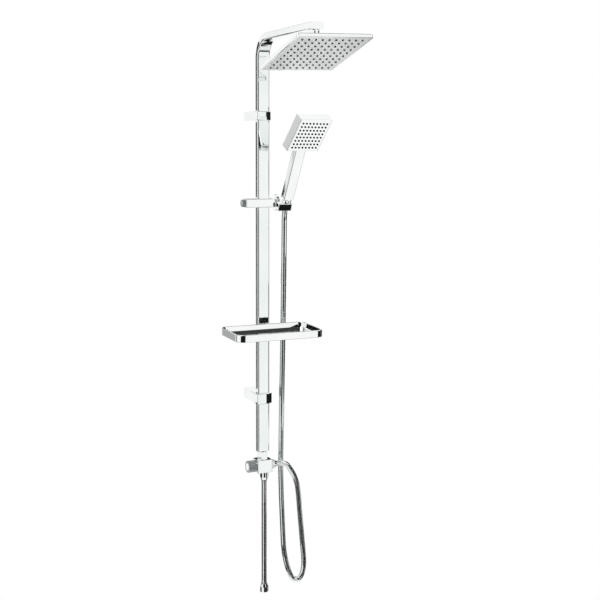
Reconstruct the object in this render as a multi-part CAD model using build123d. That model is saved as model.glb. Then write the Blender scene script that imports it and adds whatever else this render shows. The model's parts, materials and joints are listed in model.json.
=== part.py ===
"""Wall-hung rainfall shower column: flat bent column, overhead rose, handset, soap tray and diverter.

Millimetres. X runs along the wall to the right, Y runs into the wall, Z is up.
The origin is the centre of the lower bracket on the wall, so the object stands out towards -Y.
"""
from build123d import *
import math
import os

# Clearances
RUN_GAP = 0.3
FIT_GAP = 0.05
SEAT_GAP = 0.1

# Half-inch pipe thread, washers and bores shared by every water joint
THREAD_RADIUS = 10.48
THREAD_GAP = 0.07
THREAD_RELIEF = 0.5
THREAD_LENGTH = 10.0
WATER_BORE = 5.0
WASHER_THICKNESS = 2.0
LIP_THICKNESS = 3.0
KNURL_RADIUS = 1.2
KNURL_DEPTH = 0.4

# Column and arm: one flat tube, bent once
STANDOFF = 80.0
BRACKET_SPACING = 750.0
FOOT_DROP = 144.0
ARM_RISE = 197.5
ARM_REACH = 326.0
TUBE_WIDTH = 34.0
TUBE_DEPTH = 17.0
TUBE_WALL = 1.5
TUBE_CORNER = 3.5
BEND_RADIUS = 52.0
CAP_THICKNESS = 2.0
CAP_SPIGOT = 8.0
OUTLET_SETBACK = 20.0
OUTLET_SPIGOT = 8.5

# Wall brackets
LOWER_BRACKET_WIDTH = 44.0
LOWER_BRACKET_HEIGHT = 28.0
LOWER_BRACKET_FRONT = 9.0
LOWER_BRACKET_FLAT = 23.0
UPPER_BRACKET_WIDTH = 39.0
UPPER_BRACKET_HEIGHT = 23.0
UPPER_BRACKET_FRONT = 4.4
UPPER_BRACKET_FLAT = 21.5
BRACKET_ROUND = 40.0
BRACKET_WALL = 3.0
BRACKET_EDGE = 1.2
BUSH_WALL = 0.9
WALL_PLATE_THICKNESS = 5.0
WALL_TONGUE_LENGTH = 30.0
WALL_TONGUE_THICKNESS = 3.0
WALL_HOLE_RADIUS = 2.5
WALL_HOLE_SPACING = 19.0
GRUB_RADIUS = 2.0
GRUB_KEY_RADIUS = 0.9
GRUB_FROM_WALL = 20.0

# Overhead rose and its ball joint
BALL_DROP = 28.0
BALL_RADIUS = 9.5
NECK_RADIUS = 5.5
SWIVEL_ACROSS_FLATS = 28.0
SWIVEL_FLOOR = 2.0
COLLAR_RISE = 6.5
COLLAR_MOUTH = 8.1
COLLAR_SKIRT = 9.0
COLLAR_WALL = 2.9
COLLAR_CHAMFER = 2.0
COLLAR_KNURLS = 24
SEAL_WALL = 1.5
SEAL_DROP = 8.7
BOSS_WALL = 2.0
REGULATOR_THICKNESS = 2.0
HEAD_DROP = 30.0
HEAD_SIZE = 200.0
HEAD_THICKNESS = 10.0
HEAD_CORNER = 5.0
HEAD_EDGE = 2.5
HEAD_RIM = 3.0
HEAD_SKIN = 2.0
HEAD_AZIMUTH = 10.9
HEAD_TILT = -18.2
HEAD_TURN = -7.3
HEAD_NOZZLES = 10
HEAD_NOZZLE_PITCH_ACROSS = 17.6
HEAD_NOZZLE_PITCH_DEEP = 18.4

# Spray faces of the rose and the handset
FACE_THICKNESS = 2.5
MAT_THICKNESS = 1.2
NOZZLE_RADIUS = 2.7
NOZZLE_TIP_RADIUS = 2.3
NOZZLE_PROUD = 1.5
NOZZLE_HOLE = 0.9

# Slider and its lock
SLIDER_RISE = 524.0
SLIDER_HEIGHT = 22.0
SLIDER_LEFT = 51.0
SLIDER_RIGHT = 31.0
SLIDER_WALL = 3.4
SLIDER_EDGE = 1.5
LINER_WALL = 1.2
LINER_INSET = 1.0
LOCK_KNOB_RADIUS = 9.5
LOCK_KNOB_LENGTH = 8.0
LOCK_KNOB_RIBS = 16
LOCK_KNOB_RIB_DEPTH = 0.8
LOCK_SCREW_RADIUS = 3.0
BRAKE_PAD_SIZE = 8.0
BRAKE_PAD_BACKING = 2.0

# Handset holder, turned outwards and leaning forwards
HOLDER_LEAN = 22.3
HOLDER_YAW = 12.0
SOCKET_X = 60.0
SOCKET_OUT = 17.0
SOCKET_DEPTH = 32.0
SOCKET_PRONG = 12.0
SOCKET_TOP = 4.5
SOCKET_BOTTOM = -16.5
SOCKET_MOUTH_RADIUS = 12.9
SOCKET_TAPER = 0.057
SOCKET_EDGE = 2.0
SLOT_WIDTH = 16.0
HUB_RADIUS = 22.0
HUB_WIDTH = 9.0
PIVOT_RADIUS = 4.0
PIVOT_HEAD_RADIUS = 7.0
PIVOT_HEAD_HEIGHT = 3.4
PIVOT_REACH = 13.0
FRICTION_WASHER_RADIUS = 13.0
FRICTION_WASHER_THICKNESS = 1.0

# Handset, in the holder's leaning frame
HANDLE_WIDTH = 33.0
HANDLE_DEPTH = 17.0
HANDLE_CORNER = 3.0
HANDSET_SIZE = 100.0
HANDSET_THICKNESS = 25.5
HANDSET_EDGE = 2.0
HANDSET_RIM = 3.0
HANDSET_CAVITY = 14.0
HANDSET_LEAN = 16.2
HANDSET_FACE_OUT = 14.7
HANDSET_FACE_RISE = 151.8
HANDSET_NOZZLES = 8
HANDSET_NOZZLE_PITCH = 10.86
INSERT_SPIGOT_RADIUS = 6.5
INSERT_SPIGOT_LENGTH = 20.0
CONE_TOP = 11.0
CONE_BOTTOM = -6.0

# Soap tray, leaning forwards so that it drains
TRAY_TOP = 203.4
TRAY_HEIGHT = 19.0
TRAY_WIDTH = 242.0
TRAY_DEPTH = 129.5
TRAY_SHIFT = -6.0
TRAY_LEAN = 2.0
TRAY_RIM = 4.0
TRAY_CORNER = 20.0
TRAY_EDGE = 1.2
TRAY_SLOPE = 2.3
TRAY_FLOOR_THICKNESS = 3.0
TRAY_LEDGE = 3.0
CLAMP_WALL = 3.0
CLAMP_INSET = 1.5
CLAMP_BELOW_RIM = 4.0
CLAMP_EAR = 13.0
TRAY_SCREW_RADIUS = 2.0
TRAY_SCREW_HEAD_RADIUS = 3.6
TRAY_SCREW_HEAD_HEIGHT = 2.4
TRAY_SCREW_BITE = 3.2

# Diverter under the column
UNION_GAP = 4.0
UNION_ACROSS_FLATS = 27.0
UNION_FLANGE = 6.0
FOOT_PLATE = 2.5
FOOT_PLUG = 14.0
TAIL_RADIUS = 8.0
DIVERTER_WIDTH = 43.0
DIVERTER_DEPTH = 36.0
DIVERTER_HEIGHT = 36.0
DIVERTER_EDGE = 1.5
INLET_OFFSET = 4.0
CORE_RADIUS = 9.0
CORE_LENGTH = 17.0
CORE_RIGHT = 11.0
SPINDLE_RADIUS = 4.0
SPINDLE_LENGTH = 28.5
O_RING_WIDTH = 2.0
O_RING_DEPTH = 1.0
BONNET_FLANGE_RADIUS = 12.0
BONNET_FLANGE_THICKNESS = 3.0
KNOB_RADIUS = 16.0
KNOB_LENGTH = 23.0
KNOB_FLUTES = 10
KNOB_FLUTE_RADIUS = 3.0
KNOB_FLUTE_DEPTH = 1.0
KNOB_WALL = 3.0
KNOB_CAP_RADIUS = 10.0
KNOB_CAP_THICKNESS = 1.5
KNOB_SCREW_RADIUS = 1.5
KNOB_SCREW_HEAD_RADIUS = 3.2
KNOB_SCREW_HEAD_HEIGHT = 2.2
KNOB_SCREW_LENGTH = 10.0

# Hoses: ribbed metal tube, one to the handset and one to the water supply
HOSE_CREST = 7.5
HOSE_ROOT = 6.6
HOSE_BORE = 4.5
HOSE_RIB_PITCH = 7.5
RIB_RISE = 0.15
RIB_FALL = 0.6
RIB_FOOT = 0.75
ARC_SHARE = 0.45
HOSE_STRAIGHT = 27.5
HOSE_END_LENGTH = 110.0
HOSE_TOP_LENGTH = 150.0
HOSE_NUT_GRIP = 10.0
HOSE_NUT_LENGTH = 18.0
HOSE_NUT_WALL = 2.0
INLET_HOSE_LENGTH = 287.3
INLET_NUT_RADIUS = 12.2
INLET_NUT_NECK = 9.5
INLET_NUT_CONE = 7.5
UPPER_NUT_THREAD = 9.3
END_NUT_THREAD = 8.8
FERRULE_LENGTH = 5.0
FERRULE_FLANGE = 2.6

# Places that follow from the sizes above
COLUMN_Y = -STANDOFF
FOOT_Z = -FOOT_DROP
ARM_Z = BRACKET_SPACING + ARM_RISE
ARM_UNDERSIDE = ARM_Z - TUBE_DEPTH / 2
ARM_END_Y = COLUMN_Y - ARM_REACH
OUTLET_Y = ARM_END_Y + OUTLET_SETBACK
THREAD_BORE = THREAD_RADIUS + THREAD_GAP
BUSH_GAP = BUSH_WALL + SEAT_GAP
LINER_GAP = RUN_GAP + LINER_WALL
SLEEVE_GAP = LINER_GAP + SEAT_GAP
FACE_COLUMN = TUBE_DEPTH / 2
TRAY_BACK = FACE_COLUMN + SLEEVE_GAP + CLAMP_WALL

ALONG_X = Rot(0, 90, 0)
INLET = Pos(INLET_OFFSET, COLUMN_Y, 0)
HEAD_POSE = Rot(0, 0, HEAD_AZIMUTH) * Rot(HEAD_TILT, 0, 0) * Rot(0, 0, HEAD_TURN)
BALL_CENTRE = Pos(0, OUTLET_Y, ARM_UNDERSIDE - BALL_DROP)
HEAD = BALL_CENTRE * HEAD_POSE
PIVOT = Pos(0, COLUMN_Y, SLIDER_RISE)
SOCKET_CENTRE = Pos(SOCKET_X, COLUMN_Y - SOCKET_OUT, SLIDER_RISE)
HOLDER_BLOCK = SOCKET_CENTRE * Rot(HOLDER_LEAN, 0, 0)
SOCKET = SOCKET_CENTRE * Rot(0, 0, HOLDER_YAW) * Rot(HOLDER_LEAN, 0, 0)


def block(x, y, z):
    """Box between low and high values on each axis."""
    centre = [(low + high) / 2 for low, high in (x, y, z)]
    return Pos(*centre) * Box(*[high - low for low, high in (x, y, z)])


def rod(radius, low, high):
    """Cylinder on the local Z axis between two heights."""
    return Pos(0, 0, (low + high) / 2) * Cylinder(radius, high - low)


def pipe(outer, inner, low, high):
    """Hollow cylinder on the local Z axis."""
    return rod(outer, low, high) - rod(inner, low - 1, high + 1)


def taper(low_radius, high_radius, low, high):
    """Cone frustum on the local Z axis."""
    return Pos(0, 0, (low + high) / 2) * Cone(low_radius, high_radius, high - low)


def hexagon(across_flats, low, high):
    """Hexagonal bar on the local Z axis with its two ends chamfered like a nut's."""
    flats = RegularPolygon(across_flats / 2, 6, major_radius=False)
    bar = Pos(0, 0, low) * extrude(flats, high - low)
    corner = across_flats / math.sqrt(3)
    bevel = corner - across_flats / 2
    keep = rod(corner, low + bevel / 2, high - bevel / 2)
    keep += taper(across_flats / 2, corner, low, low + bevel / 2)
    keep += taper(corner, across_flats / 2, high - bevel / 2, high)
    return bar & keep


def fluted(radius, length, count, flute_radius, depth):
    """Round grip from Z 0 to length with shallow flutes down its side."""
    grip = rod(radius, 0, length)
    grip -= [place * rod(flute_radius, -1, length + 1)
             for place in PolarLocations(radius + flute_radius - depth, count)]
    return grip


def tube_bar(width, depth, corner, low, high):
    """Upright bar with a rounded rectangular section."""
    return Pos(0, 0, low) * extrude(RectangleRounded(width, depth, corner), high - low)


def sleeve_hole(gap, low, high):
    """Cutter that follows the column's section with a gap all round, on the column's axis."""
    cutter = tube_bar(TUBE_WIDTH + 2 * gap, TUBE_DEPTH + 2 * gap, TUBE_CORNER + gap, low, high)
    return Pos(0, COLUMN_Y, 0) * cutter


def face_plate(size, corner, points):
    """Square plate with nozzle holes, its outer face at Z 0."""
    plate = extrude(RectangleRounded(size, size, corner), FACE_THICKNESS)
    return plate - [place * rod(NOZZLE_RADIUS + SEAT_GAP, -1, FACE_THICKNESS + 1) for place in points]


def nozzle_mat(size, corner, points):
    """Soft mat behind a face plate with a hollow nozzle through every hole."""
    mat = Pos(0, 0, FACE_THICKNESS) * extrude(RectangleRounded(size, size, corner), MAT_THICKNESS)
    nozzle = rod(NOZZLE_RADIUS, 0, FACE_THICKNESS)
    nozzle += taper(NOZZLE_TIP_RADIUS, NOZZLE_RADIUS, -NOZZLE_PROUD, 0)
    jet = rod(NOZZLE_HOLE, -NOZZLE_PROUD - 1, FACE_THICKNESS + MAT_THICKNESS + 1)
    mat = mat.fuse(*[place * nozzle for place in points])
    return mat.cut(*[place * jet for place in points])


def column_and_arm():
    """Bent tube, its end cap and the threaded outlet under the arm."""
    tube_end = ARM_END_Y + CAP_THICKNESS
    corners = ((0, COLUMN_Y, FOOT_Z), (0, COLUMN_Y, ARM_Z), (0, tube_end, ARM_Z))
    path = FilletPolyline(*corners, radius=BEND_RADIUS)
    start = Plane((0, COLUMN_Y, FOOT_Z))
    inner_width = TUBE_WIDTH - 2 * TUBE_WALL
    inner_depth = TUBE_DEPTH - 2 * TUBE_WALL
    inner_corner = TUBE_CORNER - TUBE_WALL
    outer = sweep(start * RectangleRounded(TUBE_WIDTH, TUBE_DEPTH, TUBE_CORNER), path=path)
    inner = sweep(start * RectangleRounded(inner_width, inner_depth, inner_corner), path=path)
    outlet_place = Pos(0, OUTLET_Y, ARM_UNDERSIDE)
    tube = outer - inner - outlet_place * rod(OUTLET_SPIGOT + SEAT_GAP, -1, TUBE_WALL + 1)

    cap_plane = Plane((0, tube_end, ARM_Z), x_dir=(1, 0, 0), z_dir=(0, -1, 0))
    cap = extrude(cap_plane * RectangleRounded(TUBE_WIDTH, TUBE_DEPTH, TUBE_CORNER), CAP_THICKNESS)
    spigot = RectangleRounded(inner_width - 2 * SEAT_GAP, inner_depth - 2 * SEAT_GAP, inner_corner)
    cap += extrude(cap_plane * spigot, -CAP_SPIGOT)

    outlet = rod(THREAD_RADIUS, -THREAD_LENGTH, 0) + rod(OUTLET_SPIGOT, 0, TUBE_WALL)
    outlet = outlet_place * (outlet - rod(WATER_BORE, -THREAD_LENGTH - 1, TUBE_WALL + 1))
    return {"column_tube": tube, "arm_end_cap": cap, "arm_outlet": outlet}


def bracket_plan(half_width, front, flat):
    """Plan of a bracket sleeve: a flat front at the left that runs into a broad round at the right."""
    turn_x = flat - half_width
    run = half_width - turn_x
    drop = BRACKET_ROUND - math.sqrt(BRACKET_ROUND ** 2 - run ** 2)
    right = (half_width, front + drop)
    sides = Polyline((turn_x, front), (-half_width, front), (-half_width, 0), (half_width, 0), right)
    return make_face(sides + TangentArc((turn_x, front), right, tangent=(1, 0)))


def wall_bracket(width, height, front_wall, flat):
    """Sleeve round the column, its right front edge broadly rounded, that hooks over a wall plate."""
    half_width = width / 2
    half_height = height / 2
    front = COLUMN_Y - FACE_COLUMN - front_wall
    pocket_back = COLUMN_Y + FACE_COLUMN + BUSH_GAP + BRACKET_WALL
    pocket_x = half_width - BRACKET_WALL
    pocket_z = half_height - BRACKET_WALL

    sleeve = Pos(0, 0, -half_height) * extrude(bracket_plan(half_width, front, flat), height)
    uprights = sleeve.edges().filter_by(Axis.Z).filter_by_position(Axis.Y, front - 1, COLUMN_Y)
    uprights = uprights.sort_by(Axis.X)
    sleeve = fillet([uprights[0], uprights[-1]], BRACKET_EDGE)
    for side in (0, -1):
        rim = sleeve.faces().filter_by(Axis.Z).sort_by(Axis.Z)[side].edges()
        sleeve = fillet(rim.group_by(Axis.Y)[:-1], BRACKET_EDGE)
    sleeve -= sleeve_hole(BUSH_GAP, -height, height)
    sleeve -= block((-pocket_x, pocket_x), (pocket_back, 1), (-pocket_z, pocket_z))
    grub_place = Pos(0, -GRUB_FROM_WALL, 0)
    sleeve -= grub_place * rod(GRUB_RADIUS + FIT_GAP, -half_height - 1, 0)

    bush = sleeve_hole(BUSH_WALL, -half_height, half_height)
    bush -= sleeve_hole(0, -height, height)

    plate_x = pocket_x - SEAT_GAP
    plate_z = pocket_z - SEAT_GAP
    plate = block((-plate_x, plate_x), (-WALL_PLATE_THICKNESS, 0), (-plate_z, plate_z))
    tongue_inner = plate_z - WALL_TONGUE_THICKNESS
    for low, high in ((tongue_inner, plate_z), (-plate_z, -tongue_inner)):
        plate += block((-plate_x, plate_x), (-WALL_TONGUE_LENGTH, 0), (low, high))
    screw_hole = Rot(90, 0, 0) * rod(WALL_HOLE_RADIUS, -1, WALL_PLATE_THICKNESS + 1)
    plate -= [Pos(side * WALL_HOLE_SPACING / 2, 0, 0) * screw_hole for side in (-1, 1)]

    grub = rod(GRUB_RADIUS, -half_height, -plate_z)
    key = extrude(RegularPolygon(GRUB_KEY_RADIUS, 6), BRACKET_WALL / 2)
    grub = grub_place * (grub - Pos(0, 0, -half_height) * key)
    return {"bracket_sleeve": sleeve, "bracket_bush": bush, "wall_plate": plate, "grub_screw": grub}


def wall_brackets():
    """Lower and upper bracket, the upper one slimmer and higher up the wall."""
    lower = wall_bracket(
        LOWER_BRACKET_WIDTH, LOWER_BRACKET_HEIGHT, LOWER_BRACKET_FRONT, LOWER_BRACKET_FLAT
    )
    upper = wall_bracket(
        UPPER_BRACKET_WIDTH, UPPER_BRACKET_HEIGHT, UPPER_BRACKET_FRONT, UPPER_BRACKET_FLAT
    )
    pieces = {f"lower_{name}": solid for name, solid in lower.items()}
    pieces.update({f"upper_{name}": Pos(0, 0, BRACKET_SPACING) * solid for name, solid in upper.items()})
    return pieces


def ball_joint():
    """Swivel under the arm and the collar that holds the rose on its ball."""
    socket_floor = -THREAD_LENGTH - WASHER_THICKNESS - SWIVEL_FLOOR
    swivel = hexagon(SWIVEL_ACROSS_FLATS, socket_floor, -2 * RUN_GAP)
    swivel -= rod(THREAD_BORE, socket_floor + SWIVEL_FLOOR, 1)
    swivel += rod(NECK_RADIUS, -BALL_DROP, socket_floor)
    swivel += Pos(0, 0, -BALL_DROP) * Sphere(BALL_RADIUS)
    swivel -= rod(WATER_BORE - 1, -BALL_DROP - BALL_RADIUS - 1, 1)
    washer_top = -THREAD_LENGTH - SEAT_GAP
    washer = pipe(THREAD_RADIUS - SEAT_GAP, WATER_BORE, -THREAD_LENGTH - WASHER_THICKNESS, washer_top)
    under_arm = Pos(0, OUTLET_Y, ARM_UNDERSIDE)

    seat = Sphere(BALL_RADIUS + RUN_GAP)
    seal_radius = BALL_RADIUS + SEAL_WALL
    boss_radius = seal_radius + RUN_GAP + BOSS_WALL
    skirt_bore = boss_radius + RUN_GAP
    collar_radius = skirt_bore + COLLAR_WALL
    collar = fluted(collar_radius, COLLAR_SKIRT + COLLAR_RISE, COLLAR_KNURLS, KNURL_RADIUS, KNURL_DEPTH)
    collar = Pos(0, 0, -COLLAR_SKIRT) * collar
    collar_height = COLLAR_SKIRT + COLLAR_RISE
    collar_top = collar_radius - COLLAR_CHAMFER
    collar &= taper(collar_top + collar_height, collar_top, -COLLAR_SKIRT, COLLAR_RISE)
    collar -= rod(skirt_bore, -COLLAR_SKIRT - 1, -SEAL_WALL + RUN_GAP)
    collar -= seat
    collar -= rod(COLLAR_MOUTH, 0, COLLAR_RISE + 1)
    seal = pipe(seal_radius, WATER_BORE + 1, -SEAL_DROP, -2 * SEAL_WALL) - seat
    return {
        "swivel_ball": under_arm * swivel,
        "swivel_washer": under_arm * washer,
        "ball_collar": HEAD * collar,
        "ball_seal": HEAD * seal,
    }


def rose():
    """Square overhead rose: back shell with its boss, spray face, nozzle mat and flow regulator."""
    top = HEAD_THICKNESS - HEAD_DROP
    seal_radius = BALL_RADIUS + SEAL_WALL
    cup_radius = seal_radius + RUN_GAP
    boss_radius = cup_radius + BOSS_WALL
    inner_size = HEAD_SIZE - 2 * HEAD_RIM
    inner_corner = HEAD_CORNER - HEAD_RIM
    face = Pos(0, 0, -HEAD_DROP)

    shell = face * extrude(RectangleRounded(HEAD_SIZE, HEAD_SIZE, HEAD_CORNER), HEAD_THICKNESS)
    shell = fillet(shell.faces().sort_by(Axis.Z)[-1].edges(), HEAD_EDGE)
    shell = fillet(shell.faces().sort_by(Axis.Z)[0].edges(), HEAD_EDGE / 3)
    pocket_depth = HEAD_THICKNESS - HEAD_SKIN
    shell -= face * extrude(RectangleRounded(inner_size, inner_size, inner_corner), pocket_depth)
    boss_top = -SEAL_WALL
    shell += rod(boss_radius, top, boss_top)
    shell -= rod(WATER_BORE, top - HEAD_SKIN - 1, 0)
    cup_floor = -BALL_RADIUS - RUN_GAP - REGULATOR_THICKNESS
    shell -= rod(cup_radius, cup_floor, 1)

    plate_size = inner_size - 2 * SEAT_GAP
    pitch = (HEAD_NOZZLE_PITCH_ACROSS, HEAD_NOZZLE_PITCH_DEEP)
    points = GridLocations(*pitch, HEAD_NOZZLES, HEAD_NOZZLES)
    plate = face * face_plate(plate_size, inner_corner, points)
    mat = face * nozzle_mat(plate_size, inner_corner, points)
    regulator = pipe(cup_radius - SEAT_GAP, WATER_BORE / 2, cup_floor, cup_floor + REGULATOR_THICKNESS)
    pieces = {
        "head_back_shell": shell,
        "head_face_plate": plate,
        "head_nozzle_mat": mat,
        "flow_regulator": regulator,
    }
    return {name: HEAD * solid for name, solid in pieces.items()}


def slider():
    """Sliding carriage on the column, its liner, brake and lock knob, and the holder's pivot bolt."""
    half_height = SLIDER_HEIGHT / 2
    half_depth = FACE_COLUMN + SLEEVE_GAP + SLIDER_WALL
    body = block((-SLIDER_LEFT, SLIDER_RIGHT), (-half_depth, half_depth), (-half_height, half_height))
    body = fillet(body.edges(), SLIDER_EDGE)
    body = Pos(0, COLUMN_Y, 0) * body
    body -= sleeve_hole(SLEEVE_GAP, -SLIDER_HEIGHT, SLIDER_HEIGHT)

    column_side = TUBE_WIDTH / 2
    liner_side = column_side + LINER_GAP
    liner_half = half_height - LINER_INSET
    axis = Pos(0, COLUMN_Y, 0) * ALONG_X
    pad_half = BRAKE_PAD_SIZE / 2
    pad_back = liner_side + BRAKE_PAD_BACKING
    window = block((-pad_back - SEAT_GAP, 0), (-pad_half, pad_half), (-pad_half, pad_half))
    window = Pos(0, COLUMN_Y, 0) * window
    liner = sleeve_hole(LINER_GAP, -liner_half, liner_half)
    liner -= sleeve_hole(RUN_GAP, -SLIDER_HEIGHT, SLIDER_HEIGHT)
    liner -= window
    body -= window
    pad_side = pad_half - SEAT_GAP
    pad = block((-pad_back, -column_side - RUN_GAP), (-pad_side, pad_side), (-pad_side, pad_side))
    pad = Pos(0, COLUMN_Y, 0) * pad

    screw_tip = -pad_back - RUN_GAP
    body -= axis * rod(LOCK_SCREW_RADIUS + FIT_GAP, -SLIDER_LEFT - 1, -pad_back)
    knob_face = -SLIDER_LEFT - RUN_GAP
    knob_end = knob_face - LOCK_KNOB_LENGTH
    screw_end = knob_end + LOCK_KNOB_LENGTH / 2
    screw = axis * rod(LOCK_SCREW_RADIUS, screw_end, screw_tip)
    knob = fluted(LOCK_KNOB_RADIUS, LOCK_KNOB_LENGTH, LOCK_KNOB_RIBS, KNURL_RADIUS, LOCK_KNOB_RIB_DEPTH)
    knob = Pos(0, 0, knob_end) * knob
    knob -= rod(LOCK_SCREW_RADIUS + FIT_GAP, screw_end, knob_face + 1)

    head_low = liner_side + 2 * SEAT_GAP
    head_high = head_low + PIVOT_HEAD_HEIGHT
    bolt_end = SLIDER_RIGHT + PIVOT_REACH
    body -= axis * rod(PIVOT_HEAD_RADIUS + SEAT_GAP, 0, head_high)
    body -= axis * rod(PIVOT_RADIUS + SEAT_GAP, 0, bolt_end)
    bolt = axis * (rod(PIVOT_HEAD_RADIUS, head_low, head_high) + rod(PIVOT_RADIUS, head_high, bolt_end))
    washer_end = SLIDER_RIGHT + FRICTION_WASHER_THICKNESS
    washer = axis * pipe(FRICTION_WASHER_RADIUS, PIVOT_RADIUS + SEAT_GAP, SLIDER_RIGHT, washer_end)
    washer_room = half_height - SLIDER_EDGE
    room = block((0, bolt_end), (-half_depth, half_depth), (-washer_room, washer_room))
    washer &= Pos(0, COLUMN_Y, 0) * room
    pieces = {
        "slider_body": body,
        "slider_liner": liner,
        "brake_pad": pad,
        "lock_screw": screw,
        "lock_knob": axis * knob,
        "pivot_bolt": bolt,
        "friction_washer": washer,
    }
    return {name: Pos(0, 0, SLIDER_RISE) * solid for name, solid in pieces.items()}


def socket_radius(height):
    """Radius of the holder's tapered bore at a height in its own frame."""
    return SOCKET_MOUTH_RADIUS - SOCKET_TAPER * (SOCKET_TOP - height)


def holder():
    """Tilting holder: a block on the slider's pivot with a round hub and a slotted, tapered socket."""
    hub_low = SLIDER_RIGHT + FRICTION_WASHER_THICKNESS + RUN_GAP
    hub = rod(HUB_RADIUS, hub_low, hub_low + HUB_WIDTH)
    hub = fillet(hub.edges().filter_by(GeomType.CIRCLE), BRACKET_EDGE)
    half_depth = SOCKET_DEPTH / 2
    ring = block((hub_low - SOCKET_X, SOCKET_PRONG), (-half_depth, half_depth), (SOCKET_BOTTOM, SOCKET_TOP))
    ring = fillet(ring.edges(), SOCKET_EDGE)
    body = PIVOT * ALONG_X * hub + HOLDER_BLOCK * ring
    reach = 2 * SOCKET_DEPTH
    bore = taper(socket_radius(-reach), socket_radius(reach), -reach, reach)
    slot = block((0, reach), (-SLOT_WIDTH / 2, SLOT_WIDTH / 2), (-reach, reach))
    body -= SOCKET * bore
    body -= SOCKET * slot
    bolt_end = SLIDER_RIGHT + PIVOT_REACH
    body -= PIVOT * ALONG_X * rod(PIVOT_RADIUS + FIT_GAP, 0, bolt_end + RUN_GAP)
    return {"handset_holder": body}


def hose_cone():
    """Conical swivel nut on the hose's upper end, seated in the holder, and its washer."""
    low_radius = socket_radius(CONE_BOTTOM) - RUN_GAP
    high_radius = socket_radius(CONE_TOP) - RUN_GAP
    cone = taper(low_radius, high_radius, CONE_BOTTOM, CONE_TOP)
    thread_floor = CONE_TOP - THREAD_LENGTH - WASHER_THICKNESS
    cone -= rod(THREAD_BORE, thread_floor, CONE_TOP + 1)
    cone -= rod(HOSE_BORE, CONE_BOTTOM - 1, CONE_TOP)
    washer_top = thread_floor + WASHER_THICKNESS - RUN_GAP
    washer = pipe(THREAD_RADIUS - SEAT_GAP, HOSE_BORE, thread_floor, washer_top)
    return {"hose_cone": SOCKET * cone, "hose_upper_washer": SOCKET * washer}


def handset():
    """Flat-handled handset with a square head, its spray face, nozzle mat and threaded insert."""
    foot = CONE_TOP + RUN_GAP
    handle_top = HANDSET_FACE_RISE + HANDSET_CAVITY
    handle = tube_bar(HANDLE_WIDTH, HANDLE_DEPTH, HANDLE_CORNER, foot, handle_top)
    handle = fillet(handle.faces().sort_by(Axis.Z)[0].edges(), BRACKET_EDGE)

    half = HANDSET_SIZE / 2
    head = block((-half, half), (0, HANDSET_THICKNESS), (0, HANDSET_SIZE))
    head = fillet(head.edges(), HANDSET_EDGE)
    head_place = Pos(0, -HANDSET_FACE_OUT, HANDSET_FACE_RISE) * Rot(HANDSET_LEAN, 0, 0)
    inner_size = HANDSET_SIZE - 2 * HANDSET_RIM
    face_frame = head_place * Pos(0, 0, half) * Rot(-90, 0, 0)
    cavity = extrude(RectangleRounded(inner_size, inner_size, HANDSET_EDGE), HANDSET_CAVITY)
    channel = rod(WATER_BORE, foot - 1, handle_top)
    body = handle + head_place * head - face_frame * cavity - channel
    body -= rod(INSERT_SPIGOT_RADIUS + SEAT_GAP, foot - 1, foot + INSERT_SPIGOT_LENGTH)

    plate_size = inner_size - 2 * SEAT_GAP
    pitch = HANDSET_NOZZLE_PITCH
    points = GridLocations(pitch, pitch, HANDSET_NOZZLES, HANDSET_NOZZLES)
    plate = face_frame * face_plate(plate_size, HANDSET_EDGE, points)
    mat = face_frame * nozzle_mat(plate_size, HANDSET_EDGE, points)
    insert = rod(THREAD_RADIUS, CONE_TOP - THREAD_LENGTH + RUN_GAP, foot)
    insert += rod(INSERT_SPIGOT_RADIUS, foot, foot + INSERT_SPIGOT_LENGTH)
    insert -= rod(HOSE_BORE, -foot, foot + INSERT_SPIGOT_LENGTH + 1)
    pieces = {
        "handset_body": body,
        "handset_face_plate": plate,
        "handset_nozzle_mat": mat,
        "handset_insert": insert,
    }
    return {name: SOCKET * solid for name, solid in pieces.items()}


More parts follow.
